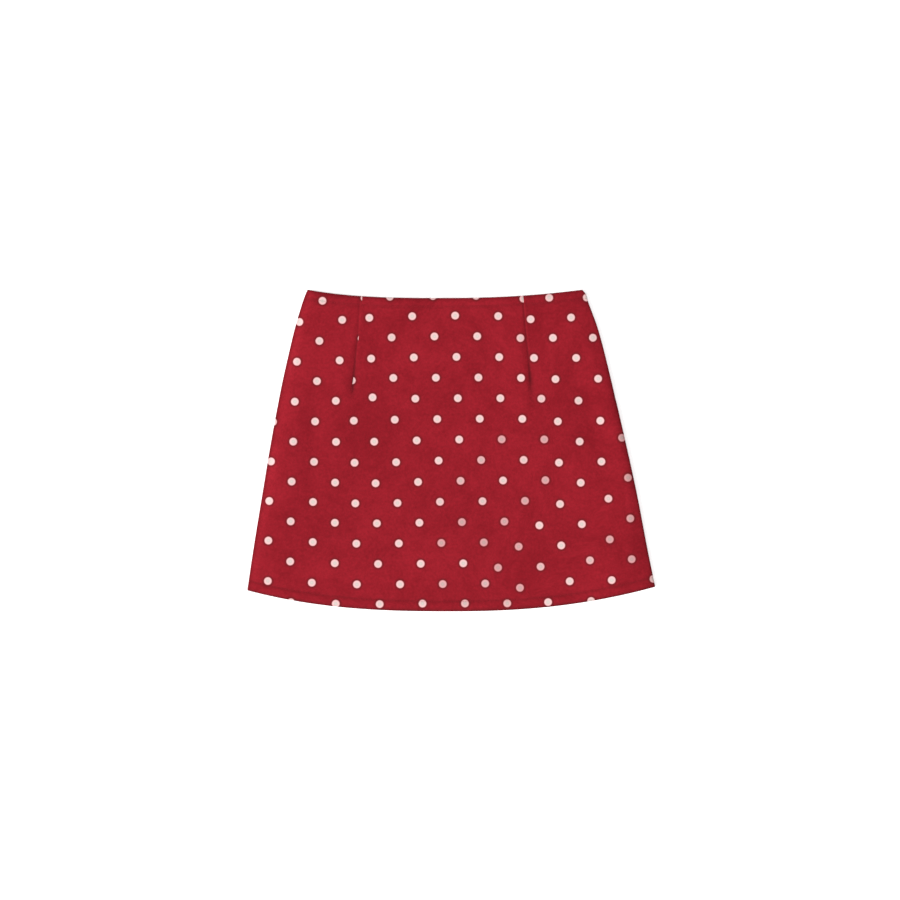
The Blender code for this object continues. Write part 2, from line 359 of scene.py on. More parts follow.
# Back panel, metres. It lies on its outer side, so its troughs go up
backForm = {
    "wall": 0.0006,
    "fold": 0.0014,
    "turning": {"waist": 0.0125, "side": 0.0100, "hem": 0.0160},
    "stitchLine": {"waist": 0.0112, "hem": 0.0130},
    "stitchSink": 0.00030,
    "stitchSinkHalf": 0.0018,
    "stitchEnd": 0.0040,
    # painted shade: how strongly each edge is darkened
    "edgeShade": {"left": 1.0, "right": 1.0, "waist": 1.0, "hem": 1.0},
    "dartDepth": 0.00045,
    "dartHalf": 0.0014,
    "dartPoint": 1.3,  # 1 is a sharp trough, 2 a round one
    "dartFades": ((0.0, 0.1), (0.85, 0.25)),  # in at the waist, out at the tip, by share
    # from each edge to where the folds start, and over what width
    "calm": {"left": 0.012, "right": 0.012, "waist": 0.012, "hem": 0.018},
    "calmWidth": 0.020,
}
# x at the waist, x at the tip, and how far down the tip lies
backDarts = [(-0.098, -0.104, 0.128), (0.090, 0.099, 0.133)]
backFolds = [  # in the same terms as softFolds
    (-0.150, -0.080, 82, 0.080, 0.006, 0.00022),
    (-0.030, -0.120, 88, 0.070, 0.005, 0.00016),
    (0.095, -0.060, 96, 0.090, 0.007, 0.00020),
    (0.190, -0.100, 104, 0.050, 0.005, 0.00018),
    (0.020, 0.070, 70, 0.045, 0.006, 0.00014),
]


def backSurface(across, along):
    form = backForm
    x, y = placeOf(across, along)
    distances = edgeDistances(across, along)
    sunk = stitchSink(form, distances)
    height = form["stitchSink"] * sunk
    fadeAtWaist, fadeAtTip = form["dartFades"]
    for waistX, tipX, tipDown in backDarts:
        part = (waistEnd - y) / tipDown
        lineX = waistX + (tipX - waistX) * part
        strength = fadeIn(part, *fadeAtWaist) * (1 - fadeIn(part, *fadeAtTip))
        trough = np.exp(-(np.abs((x - lineX) / form["dartHalf"]) ** form["dartPoint"])) * strength
        height = np.maximum(height, form["dartDepth"] * trough)
        sunk = np.maximum(sunk, trough)
    inside = 1
    for edge, start in form["calm"].items():
        inside = inside * fadeIn(distances[edge], start, form["calmWidth"])
    height = height + foldRelief(x, y, backFolds) * inside
    return height, np.clip(sunk, 0, 1)


# Mesh lines of the panels, metres
meshLines = {
    "edge": [0, 0.0012, 0.0026, 0.0042, 0.0060, 0.0080, 0.0104, 0.0132, 0.0164, 0.0200],
    "dart": [0.0007, 0.0014, 0.0021, 0.0029, 0.0038, 0.0050, 0.0065, 0.0085, 0.0110, 0.0140],
    "besideCells": 23,
    "centreCells": 58,
    "backCells": 104,
    # down to, and cells on the way
    "rows": [
        (0.0060, 3), (0.0100, 8), (0.1060, 36), (0.1360, 19),
        (0.3840, 74), (0.3850, 1), (0.3900, 9), (0.4005, 5),
    ],
}


def between(start, end, cells):
    parts = np.arange(1, cells) / cells
    return start + (end - start) * parts


def rowLines():
    lines = [0.0]
    for downTo, cells in meshLines["rows"]:
        lines += list(between(lines[-1], downTo, cells)) + [downTo]
    lines = np.array(lines) / outline["centreLength"]
    for dart in darts.values():
        lines[np.argmin(np.abs(lines - dart["tipAlong"]))] = dart["tipAlong"]
    return lines


def frontColumns(along):
    halfWidth = halfWidthAt(along)
    edge = np.array(meshLines["edge"]) / halfWidth
    stands = np.array(meshLines["dart"]) / halfWidth
    stands = np.concatenate([-stands[::-1], [0], stands])
    left, right = (dartAcross(dart, along) + stands for dart in darts.values())
    beside = meshLines["besideCells"]
    parts = [-1 + edge, between(-1 + edge[-1], left[0], beside), left]
    parts += [between(left[-1], right[0], meshLines["centreCells"]), right]
    parts += [between(right[-1], 1 - edge[-1], beside), 1 - edge[::-1]]
    return np.concatenate(parts)


def backColumns(along):
    halfWidth = halfWidthAt(along)
    edge = np.array(meshLines["edge"]) / halfWidth
    middle = between(-1 + edge[-1], 1 - edge[-1], meshLines["backCells"])
    return np.concatenate([-1 + edge, middle, 1 - edge[::-1]])


edgeCells = len(meshLines["edge"]) - 1
dartCells = len(meshLines["dart"])
leftSeamColumn = edgeCells + meshLines["besideCells"] + dartCells
rightSeamColumn = leftSeamColumn + meshLines["centreCells"] + 2 * dartCells

# Finish of the cloth. Colours are linear
clothFinish = {
    "deep": (0.212, 0.0040, 0.0104, 1),
    "light": (0.285, 0.0080, 0.0170, 1),
    "halo": (0.150, 0.0060, 0.0100, 1),  # round each dot
    # from the middle of a dot, 0, to its rim, 1
    "dotStops": (
        (0.00, (0.640, 0.560, 0.515, 1)),
        (0.25, (0.570, 0.490, 0.450, 1)),
        (0.38, (0.590, 0.475, 0.450, 1)),
        (0.65, (0.750, 0.510, 0.497, 1)),
        (0.80, (0.765, 0.465, 0.463, 1)),
        (1.00, (0.660, 0.330, 0.335, 1)),
    ),
    "dullTint": (0.80, 0.59, 0.61, 1),
    # share of dull dots from the left end of zoneSpan, 0, to its right end, 1, across the print
    "dullZones": (
        (0.00, 0.02), (0.49, 0.03), (0.55, 0.55), (0.60, 0.90), (0.70, 0.70), (0.755, 0.65),
        (0.79, 0.03), (0.85, 0.20), (0.90, 0.50), (0.948, 1.00), (1.00, 0.0),
    ),
    "zoneSpan": (-0.25, 0.30),
    "dullDown": (-0.05, 0.02, 0.20, 1.0),  # the share grows from 0.2 to the whole down the print
    "dullChange": (-0.10, 0.15),  # so that some dots are only partly dull
    "print": {
        "Across Spacing": 0.02715,
        "Down Spacing": 0.02604,
        "Dot Width": 0.0099,
        "Edge Blur": 0.0005,
        "Seed": 649.5,  # which dots are dull
    },
    "haloRange": (1.76, 1.26, 0.0, 0.80),  # from and to, in half widths of a dot, and how strong
    # the cloud is partly random tone, partly painted shade of the cloth's broad rises and hollows
    "nap": {"Thread Spacing": 0.0007, "Cloud Width": 0.090, "Seed": 314.0},
    "cloudRange": (0.34, 0.66),
    "fibreRange": (0.3, 0.7, 0.90, 1.10),  # from and to, and how dark to how light
    "edgeShadeStrength": 0.30,  # how dark the painted edge shade makes the edges
    "edgeShadeColour": (0, 0, 0, 1),
    # painted shade in the stitch and dart troughs: how strong, and its colour
    "foldShade": 0.65,
    "foldColour": (0.055, 0.002, 0.004, 1),
    "onDots": 0.30,  # share of the painted edge shade and painted trough shade that shows on the pale print
    "rough": (0.85, 0.55),  # the bare cloth, and a dot
    "heights": (0.05, 0.08),  # mm: of the weave, and of a dot
    "relief": (0.8, 0.001),  # strength, and metres for a height of 1
    "constants": {
        "Sheen Weight": 0.12,
        "Sheen Roughness": 0.5,
        "Sheen Tint": (1.0, 0.30, 0.32, 1),
        "Specular IOR Level": 0.12,
    },
}

# How the printed cloth was cut, darted and laid, in millimetres: x to the right of the centre,
# down from the waist's ends
printLay = {
    "startX": -44.2,
    "startDown": 192.7,
    "lean": (0.033, 192.0),  # of the columns of dots, and where they are true
    "slope": -0.010,  # of the rows
    "bow": (-3.66, 1.40, 400.0),  # of the rows: at the waist, at the hem, from one to the other
    "bowed": (-10.0, 130.0),  # its middle and half width
    "widen": (0.0145, 120.0),  # near the waist, and how far down
    "taken": {"left": (25.9, 455.0, 2.72), "right": (17.1, 141.8, 0.54)},  # mm in, down to, curve
    # half width of the change below a dart's tip: at the tip, and blendDown further down
    "blend": {"left": (1.5, 10.4), "right": (3.0, 23.5)},
    "blendDown": 45.0,
    "tilt": {"left": (0.048, 166.0), "right": (0.0174, 120.0)},  # outside a dart, level at
    "leftStretch": (0.0447, 150.0, 200.0),  # outside the left dart, from, over
    # a slack patch in the lower middle: x of its two sides by the distance down, the right one for
    # the columns and for the rows, and how far each shifts in it and to the right of it
    "slackLeft": ((268.7, 353.0, 358.1, 458.1), (126.0, 36.642, 36.642, 136.642)),
    "slackRight": (
        ((236.0, 266.0, 309.5, 709.5), (227.2, 191.2, 191.2, -208.8)),
        ((235.0, 266.0, 311.0, 711.0), (205.0, 189.5, 189.5, -210.5)),
    ),
    "slackWidth": 14.6,  # of the change at its sides
    "slackDown": (101.9, 384.0, 30.0),  # from, fully grown at, width of its start
    "slackTop": (8.8, -2.82),
    "slackEnd": (10.1, -6.26),
    "pastSlack": (2.0, 0.16),
    "rightGather": (9.0, 84.0, 105.0),  # near the right end of the waist: pull, reach, down to
    "leftGather": (2.0, 14.0, 110.0),  # outside the left seam
    # cloth eased to a side: middle x and distance down, reach across and down, and how far the
    # print moves left and up
    "eased": (
        (-98.7, 137, 30, 30, 0.0, 3.2),
        (-90, 235, 58, 62, 0.0, -2.0),
        (-150, 143, 35, 25, 2.4, 0.0),
        (-120, 117, 16, 14, -2.0, -1.6),
        (-185, 378, 75, 30, 2.2, 0.0),
        (172, 370, 32, 28, -2.2, 0.0),
        (95, 22, 22, 42, -1.2, -4.0),
        (93, 9, 14, 15, -4.4, 0.6),
        (0, 5, 80, 14, 0.0, -1.2),
        (-30, 403, 90, 18, -0.6, 1.8),
    ),
}


def seamPlace(dart, down):
    # x of a dart's seam in mm, by the distance down from the waist's ends
    startDown = (waistEnd - dart["start"].y) * 1000
    share = (down - startDown) / (dart["tipDown"] * 1000 - startDown)
    return seamX(dart, np.clip(share, 0, 1)) * 1000


def printPlace(x, y, leftOut, rightOut):
    # leftOut and rightOut are 1 outside each dart, 0 inside it and -1 where it has no seam
    lay = printLay
    x = x * 1000
    down = (waistEnd - y) * 1000
    clothX = x
    clothDown = down
    out = {}
    shares = {}
    for side, way, known in (("left", -1, leftOut), ("right", 1, rightOut)):
        outward = (x - seamPlace(darts[side], down)) * way
        atTip, below = lay["blend"][side]
        past = ease((down - darts[side]["tipDown"] * 1000) / lay["blendDown"])
        share = ease(outward / (2 * (atTip + (below - atTip) * past)) + 0.5)
        shares[side] = np.where(known < 0, share, known)
        out[side] = np.clip(outward, 0, None)
        taken, deep, curve = lay["taken"][side]
        clothX = clothX + way * taken * np.clip(1 - down / deep, 0, 1) ** curve * shares[side]
        tilt, level = lay["tilt"][side]
        clothDown = clothDown - tilt * out[side] * np.clip(1 - down / level, -1, 1)

    slackFrom, slackTo, startWidth = lay["slackDown"]
    pastFirst = ease((x - np.interp(down, *lay["slackLeft"])) / lay["slackWidth"] + 0.5)
    start = ease((down - slackFrom) / startWidth)
    grown = ease((down - slackFrom) / (slackTo - slackFrom))
    shifts = []
    for axis, line in enumerate(lay["slackRight"]):
        pastSecond = ease((x - np.interp(down, *line)) / lay["slackWidth"] + 0.5)
        top = lay["slackTop"][axis]
        full = lay["slackEnd"][axis]
        shift = (top * start + (full - top) * grown) * pastFirst * (1 - pastSecond)
        shifts.append(shift + lay["pastSlack"][axis] * pastSecond * start)
    clothX = clothX + shifts[0]
    clothDown = clothDown + shifts[1]

    stretch, fromDown, over = lay["leftStretch"]
    clothX = clothX + stretch * out["left"] * ease((down - fromDown) / over)
    pull, reach, deep = lay["rightGather"]
    clothX = clothX + pull * (out["right"] / reach) ** 3 * np.clip(1 - down / deep, 0, 1)
    pull, reach, deep = lay["leftGather"]
    gathered = np.exp(-out["left"] / reach) * shares["left"]
    clothX = clothX + pull * gathered * np.clip(1 - down / deep, 0, 1)
    for middleX, middleDown, reachX, reachDown, moveX, moveDown in lay["eased"]:
        share = bump(x - middleX, reachX) * bump(down - middleDown, reachDown)
        clothX = clothX + moveX * share
        clothDown = clothDown + moveDown * share
    widen, deep = lay["widen"]
    clothX = clothX * (1 - widen * np.clip(1 - down / deep, 0, 1))

    lean, trueDown = lay["lean"]
    across = clothX - lay["startX"] - lean * (down - trueDown)
    atWaist, atHem, toHem = lay["bow"]
    middle, half = lay["bowed"]
    bow = (atWaist + (atHem - atWaist) * down / toHem) * (
        1 - np.clip(np.abs(x - middle) / half, 0, 1) ** 2
    )
    below = clothDown - lay["startDown"] - lay["slope"] * x - bow
    return across / 1000, below / 1000


# How a point's nearest dot is found: rounds, length of a trial step and longest move in metres,
# limits to the cloth's stretch, and the share of the way down that a round goes
dotSearch = {
    "rounds": 12,
    "trial": 0.0005,
    "longest": 0.01,
    "stretch": (0.5, 8),
    "downShare": 0.9,
}


def dotPlace(x, y, leftOut, rightOut, printAt):
    # where a point lies among the dots. Each dot keeps its round shape where the cloth is eased
    # in, so a point takes its place from the nearest dot's middle
    across, below = printAt(x, y, leftOut, rightOut)
    columnStep = clothFinish["print"]["Across Spacing"]
    rowStep = clothFinish["print"]["Down Spacing"]
    column, row = nearestDot(across / columnStep, below / rowStep)
    dotX = x
    dotY = y
    trial = dotSearch["trial"]
    longest = dotSearch["longest"]
    for _ in range(dotSearch["rounds"]):
        a0, b0 = printAt(dotX, dotY, leftOut, rightOut)
        a1, _ = printAt(dotX + trial, dotY, leftOut, rightOut)
        stretch = np.clip((a1 - a0) / trial, *dotSearch["stretch"])
        down = (row * rowStep - b0) * dotSearch["downShare"]
        dotX = dotX + np.clip((column * columnStep - a0) / stretch, -longest, longest)
        dotY = dotY - np.clip(down, -longest, longest)
    return column * columnStep + x - dotX, row * rowStep - (y - dotY)


def nearestDot(column, row):
    # the dots stand where whole columns and rows cross and both are even or both odd
    found = []
    for shift in (0, 1):
        atColumn = 2 * np.round((column - shift) / 2) + shift
        atRow = 2 * np.round((row - shift) / 2) + shift
        found.append((atColumn, atRow, (column - atColumn) ** 2 + (row - atRow) ** 2))
    even, odd = found
    nearer = even[2] < odd[2]
    return np.where(nearer, even[0], odd[0]), np.where(nearer, even[1], odd[1])


# The back is cut straight from the cloth, a little off its rows: degrees, metres
backLay = {"turn": 1.2, "startX": 0.0062, "startDown": 0.0115}


def backPrintPlace(x, y, leftOut, rightOut):
    turn = math.radians(backLay["turn"])
    across = x * math.cos(turn) + y * math.sin(turn) + backLay["startX"]
    below = x * math.sin(turn) - y * math.cos(turn) + backLay["startDown"]
    return across, below


def edgeInward(kind, across, along):
    # ways into the panel from points of its outline, each of length 1
    step = 0.002
    if kind == "side":
        x0, y0 = placeOf(across, np.clip(along - step, 0, 1))
        x1, y1 = placeOf(across, np.clip(along + step, 0, 1))
        inward = np.stack([-(y1 - y0), x1 - x0], 1) * -np.sign(across)[:, None]
    else:
        x0, y0 = placeOf(np.clip(across - step, -1, 1), along)
        x1, y1 = placeOf(np.clip(across + step, -1, 1), along)
        inward = np.stack([y1 - y0, -(x1 - x0)], 1)
        if kind == "hem":
            inward = -inward
    return inward / np.linalg.norm(inward, axis=1)[:, None]


# The turned edges of both panels
turnedEdge = {
    "steps": 7,  # round the fold
    "underShares": (0.25, 0.6, 1.0),  # of the turning's width, where its mesh lines lie
    "edgeShadeHalf": 0.0028,  # metres from the edge, of the painted edge shade
    "edgeShadeTurn": 0.4,  # radians round the fold to where the painted edge shade is darkest
}


def buildPanel(name, form, columnsAt, surfaceAt, printAt, faceUp):
    rows = rowLines()
    across = np.stack([columnsAt(along) for along in rows])
    rowCount, columnCount = across.shape
    along = np.repeat(rows[:, None], columnCount, 1)
    x, y = placeOf(across, along)
    height, sunk = surfaceAt(across, along)

    # the outline as one loop, clockwise from the left end of the waist
    loop = [(0, c) for c in range(columnCount)]
    loop += [(r, columnCount - 1) for r in range(1, rowCount)]
    loop += [(rowCount - 1, c) for c in range(columnCount - 2, -1, -1)]
    loop += [(r, 0) for r in range(rowCount - 2, 0, -1)]
    edge = tuple(np.array(loop).T)
    edgeRow, edgeColumn = edge
    edgePoint = np.stack([x[edge], y[edge]], 1)
    kinds = {
        "waist": edgeRow == 0,
        "hem": edgeRow == rowCount - 1,
        "side": (edgeColumn == 0) | (edgeColumn == columnCount - 1),
    }
    # two ways into the panel, from the waist or hem and from the side. A corner has both, and
    # elsewhere one is turned to lie along the edge
    inward = np.zeros((2, len(loop), 2))
    for kind, here in kinds.items():
        found = edgeInward(kind, across[edge][here], along[edge][here])
        inward[1 if kind == "side" else 0, here] = found
    for lacking, known in ((0, 1), (1, 0)):
        here = ~inward[lacking].any(1)
        inward[lacking, here] = inward[known, here][:, ::-1] * (-1, 1)
    turnBack = np.linalg.inv(inward.swapaxes(0, 1))

    def moveIn(widths):
        # the outline moved in by each edge's width, mitred at the corners
        fromEnds = sum(np.where(kinds[kind], widths[kind], 0) for kind in ("waist", "hem"))
        fromSides = np.where(kinds["side"], widths["side"], 0)
        wanted = np.stack([fromEnds, fromSides], 1)
        return edgePoint + np.einsum("nij,nj->ni", turnBack, wanted)

    def moveAll(width):
        return moveIn(dict.fromkeys(kinds, width))

    radius = form["fold"] / 2
    x[edge], y[edge] = moveAll(radius).T
    under = -1 if faceUp else 1
    points = [np.stack([x, y, height], -1).reshape(-1, 3)]
    unrolled = [points[0][:, :2]]
    # painted shade that darkens the cloth near its edges and round the fold
    half = turnedEdge["edgeShadeHalf"]
    distances = edgeDistances(across, along)
    shade = np.max([form["edgeShade"][key] * bump(far, half) for key, far in distances.items()], 0)
    edgeWear = [shade.ravel()]
    paintedTroughShade = [sunk.ravel()]
    for step in range(1, turnedEdge["steps"] + 1):
        turn = math.pi * step / turnedEdge["steps"]
        ring = moveAll(radius * (1 - math.sin(turn)))
        ringHeight = height[edge] + under * radius * (1 - math.cos(turn))
        points.append(np.column_stack([ring, ringHeight]))
        unrolled.append(moveAll(radius - radius * turn))
        edgeWear.append(shade[edge] * max(0.0, math.cos(turn - turnedEdge["edgeShadeTurn"])))
        paintedTroughShade.append(sunk[edge])
    for share in turnedEdge["underShares"]:
        widths = {kind: radius + (full - radius) * share for kind, full in form["turning"].items()}
        beyond = {kind: 2 * radius - math.pi * radius - width for kind, width in widths.items()}
        points.append(np.column_stack([moveIn(widths), height[edge] + under * form["fold"]]))
        unrolled.append(moveIn(beyond))
        edgeWear.append(np.zeros(len(loop)))
        paintedTroughShade.append(np.zeros(len(loop)))

    row, column = np.indices((rowCount - 1, columnCount - 1))
    index = np.arange(across.size).reshape(across.shape)
    corners = [index[:-1, :-1], index[1:, :-1], index[1:, 1:], index[:-1, 1:]]
    faces = [np.stack(corners, -1).reshape(-1, 4)]
    last = index[edge]
    rings = len(points) - 1
    for ring in range(rings):
        new = index.size + ring * len(loop) + np.arange(len(loop))
        faces.append(np.stack([last, np.roll(last, -1), np.roll(new, -1), new], 1))
        last = new
    ringRow = np.clip(np.minimum(edgeRow, np.roll(edgeRow, -1)), 0, rowCount - 2)
    ringColumn = np.minimum(edgeColumn, np.roll(edgeColumn, -1))
    faceRow = np.concatenate([row.ravel(), np.tile(ringRow, rings)])
    faceColumn = np.concatenate([column.ravel(), np.tile(ringColumn, rings)])
    points = np.concatenate(points)
    unrolled = np.concatenate(unrolled)
    faces = np.concatenate(faces)
    if not faceUp:
        faces = faces[:, ::-1]

    mesh = bpy.data.meshes.new(name)
    mesh.from_pydata(points.tolist(), [], faces.tolist())
    # each corner of a face knows its side of a dart, so the print can jump at the seam
    leftOut = np.full(faces.shape, -1.0)
    rightOut = np.full(faces.shape, -1.0)
    middle = (rows[:-1] + rows[1:]) / 2
    aboveLeft = middle[faceRow] < darts["left"]["tipAlong"]
    aboveRight = middle[faceRow] < darts["right"]["tipAlong"]
    leftOut[aboveLeft] = (faceColumn[aboveLeft] < leftSeamColumn)[:, None]
    rightOut[aboveRight] = (faceColumn[aboveRight] >= rightSeamColumn)[:, None]
    spots = unrolled[faces]
    grain = printAt(spots[..., 0], spots[..., 1], leftOut, rightOut)
    dotted = dotPlace(spots[..., 0], spots[..., 1], leftOut, rightOut, printAt)
    for label, place in (("grainPlace", grain), ("dotPlace", dotted)):
        uv = mesh.uv_layers.new(name=label)
        uv.data.foreach_set("uv", np.stack(place, -1).astype(np.float32).ravel())
    # the painted edge shade and the painted trough shade ride on the mesh as attributes
    for label, values in (("edgeWear", edgeWear), ("sunk", paintedTroughShade)):
        layer = mesh.attributes.new(label, "FLOAT", "POINT")
        layer.data.foreach_set("value", np.concatenate(values).astype(np.float32))
    mesh.shade_smooth()
    panel = bpy.data.objects.new(name, mesh)
    scene.collection.objects.link(panel)
    wall = panel.modifiers.new("wall", "SOLIDIFY")
    wall.thickness = form["wall"]
    wall.offset = -1
    wall.material_offset = 1
    wall.material_offset_rim = 1
    print(name, "built:", len(mesh.polygons), "faces on the outer side")
    return panel


def addNode(tree, kind, inputs=None, **settings):
    # an input is a value, a socket, or a node whose first output it takes
    node = tree.nodes.new(kind)
    for key, value in settings.items():
        setattr(node, key, value)
    column = 0
    for key, value in (inputs or {}).items():
        if isinstance(value, bpy.types.Node):
            value = value.outputs[0]
        if isinstance(value, bpy.types.NodeSocket):
            tree.links.new(value, node.inputs[key])
            column = max(column, value.node.location.x / 200 + 1)
        else:
            node.inputs[key].default_value = value
    # it stands right of what feeds it and below the nodes that are already there
    above = sum(other.location.x == column * 200 for other in tree.nodes)
    node.location = (column * 200, above * -180)
    return node


def newGroup(name, inputs, outputs):
    tree = bpy.data.node_groups.new(name, "ShaderNodeTree")
    tree.interface.new_socket("Place", in_out="INPUT", socket_type="NodeSocketVector")
    for label, value in inputs.items():
        socket = tree.interface.new_socket(label, in_out="INPUT", socket_type="NodeSocketFloat")
        socket.default_value = value
    for label in outputs:
        tree.interface.new_socket(label, in_out="OUTPUT", socket_type="NodeSocketFloat")
    return tree, addNode(tree, "NodeGroupInput").outputs


def endGroup(tree, outputs):
    addNode(tree, "NodeGroupOutput", outputs)
    return tree


def floatMath(tree, operation, *values):
    return addNode(tree, "ShaderNodeMath", dict(enumerate(values)), operation=operation).outputs[0]


def vectorMath(tree, operation, *values):
    node = addNode(tree, "ShaderNodeVectorMath", dict(enumerate(values)), operation=operation)
    return node.outputs["Value" if operation == "LENGTH" else "Vector"]


def ramp(tree, value, start, full, low=0.0, high=1.0, kind="SMOOTHSTEP"):
    # change from low at start to high at full
    values = {"Value": value, "From Min": start, "From Max": full, "To Min": low, "To Max": high}
    return addNode(tree, "ShaderNodeMapRange", values, interpolation_type=kind).outputs["Result"]


def dottedPrintGroup():
    # rows of round dots, every other row moved by half a step
    inputs = {"Across Spacing": 0.027, "Down Spacing": 0.026, "Dot Width": 0.010}
    inputs = {**inputs, "Edge Blur": 0.0005, "Seed": 0.5}
    outputs = ("Dot", "From Middle", "Chance", "Middle Across", "Middle Down")
    tree, source = newGroup("Dotted print", inputs, outputs)
    steps = {0: source["Across Spacing"], 1: source["Down Spacing"], 2: 1.0}
    size = addNode(tree, "ShaderNodeCombineXYZ", steps).outputs[0]
    step = vectorMath(tree, "DIVIDE", source["Place"], size)
    far = []
    middles = []
    for shift in (0.0, 1.0):
        moved = vectorMath(tree, "ADD", step, (-shift, -shift, 0))
        half = vectorMath(tree, "MULTIPLY_ADD", moved, (0.5, 0.5, 0), (0.5, 0.5, 0))
        whole = vectorMath(tree, "FLOOR", half)
        middle = vectorMath(tree, "MULTIPLY_ADD", whole, (2, 2, 0), (shift, shift, 0))
        off = vectorMath(tree, "SUBTRACT", step, middle)
        inMetres = vectorMath(tree, "MULTIPLY", off, size)
        level = vectorMath(tree, "MULTIPLY", inMetres, (1, 1, 0))
        far.append(vectorMath(tree, "LENGTH", level))
        middles.append(middle)
    nearest = floatMath(tree, "MINIMUM", *far)
    odd = floatMath(tree, "LESS_THAN", far[1], far[0])
    choice = {0: odd, 4: middles[0], 5: middles[1]}
    middle = addNode(tree, "ShaderNodeMix", choice, data_type="VECTOR").outputs[1]
    seed = addNode(tree, "ShaderNodeCombineXYZ", {0: 0.5, 1: 0.5, 2: source["Seed"]})
    seeded = {"Vector": vectorMath(tree, "ADD", middle, seed)}
    chance = addNode(tree, "ShaderNodeTexWhiteNoise", seeded, noise_dimensions="3D")
    inPlace = vectorMath(tree, "MULTIPLY", middle, size)
    parts = addNode(tree, "ShaderNodeSeparateXYZ", {0: inPlace}).outputs
    radius = floatMath(tree, "MULTIPLY", source["Dot Width"], 0.5)
    outer = floatMath(tree, "ADD", radius, source["Edge Blur"])
    inner = floatMath(tree, "SUBTRACT", radius, source["Edge Blur"])
    results = {
        "Dot": ramp(tree, nearest, outer, inner),
        "From Middle": floatMath(tree, "DIVIDE", nearest, radius),
        "Chance": chance,
        "Middle Across": parts[0],
        "Middle Down": parts[1],
    }
    return endGroup(tree, results)


def nappedClothGroup():
    # fine twill under a short nap, with a soft cloud of lighter and darker tone: partly tone that
    # differs at random, partly painted shade and sheen where the nap lies differently and the
    # cloth rises and falls
    inputs = {"Thread Spacing": 0.0007, "Cloud Width": 0.030, "Seed": 0.0}
    tree, source = newGroup("Napped cloth", inputs, ("Cloud", "Fibre", "Height"))
    parts = addNode(tree, "ShaderNodeSeparateXYZ", {0: source["Place"]}).outputs
    rate = floatMath(tree, "DIVIDE", math.tau, source["Thread Spacing"])
    height = 0.5  # strong lines one way and faint ones across them
    for operation, strength in (("ADD", 0.35), ("SUBTRACT", 0.12)):
        slant = floatMath(tree, operation, parts[0], parts[1])
        turn = floatMath(tree, "MULTIPLY", slant, rate)
        wave = floatMath(tree, "SINE", turn)
        height = floatMath(tree, "MULTIPLY_ADD", wave, strength, height)
    threads = {"Vector": source["Place"], "Scale": 300.0, "Detail": 3.0, "Roughness": 0.62}
    fibre = addNode(tree, "ShaderNodeTexNoise", threads)
    layer = addNode(tree, "ShaderNodeCombineXYZ", {2: source["Seed"]})
    lie = {
        "Vector": vectorMath(tree, "ADD", source["Place"], layer),
        "Scale": floatMath(tree, "DIVIDE", 1.0, source["Cloud Width"]),
        "Detail": 7.0,
        "Roughness": 0.92,
        "Distortion": 0.3,
    }
    cloud = addNode(tree, "ShaderNodeTexNoise", lie)
    height = floatMath(tree, "MULTIPLY_ADD", fibre, 0.9, height)  # the nap over the threads
    return endGroup(tree, {"Cloud": cloud, "Fibre": fibre, "Height": height})


dottedPrint = dottedPrintGroup()
nappedCloth = nappedClothGroup()


def groupNode(tree, group, uvMap, values):
    values = {"Place": addNode(tree, "ShaderNodeUVMap", uv_map=uvMap), **values}
    return addNode(tree, "ShaderNodeGroup", values, node_tree=group).outputs


def mixColour(tree, share, first, second, blend="MIX"):
    values = {0: share, 6: first, 7: second}
    node = addNode(tree, "ShaderNodeMix", values, data_type="RGBA", blend_type=blend)
    return node.outputs[2]


def colourStops(tree, value, stops):
    node = addNode(tree, "ShaderNodeValToRGB", {0: value})
    elements = node.color_ramp.elements
    elements[0].position = stops[0][0]
    elements[1].position = stops[-1][0]
    for position, _ in stops[1:-1]:
        elements.new(position)
    for element, (_, colour) in zip(elements, stops):
        element.color = colour if isinstance(colour, tuple) else (colour, colour, colour, 1)
    return node.outputs[0]


def newMaterial(name, constants):
    material = bpy.data.materials.new(name)
    material.use_nodes = True
    shader = material.node_tree.nodes["Principled BSDF"]
    shader.location = (2400, 0)
    material.node_tree.nodes["Material Output"].location = (2700, 0)
    for label, value in constants.items():
        shader.inputs[label].default_value = value
    return material, material.node_tree, shader


def setSurface(tree, shader, colour, height, strength, distance):
    values = {"Strength": strength, "Distance": distance, "Height": height}
    relief = addNode(tree, "ShaderNodeBump", values)
    tree.links.new(colour, shader.inputs["Base Color"])
    tree.links.new(relief.outputs[0], shader.inputs["Normal"])


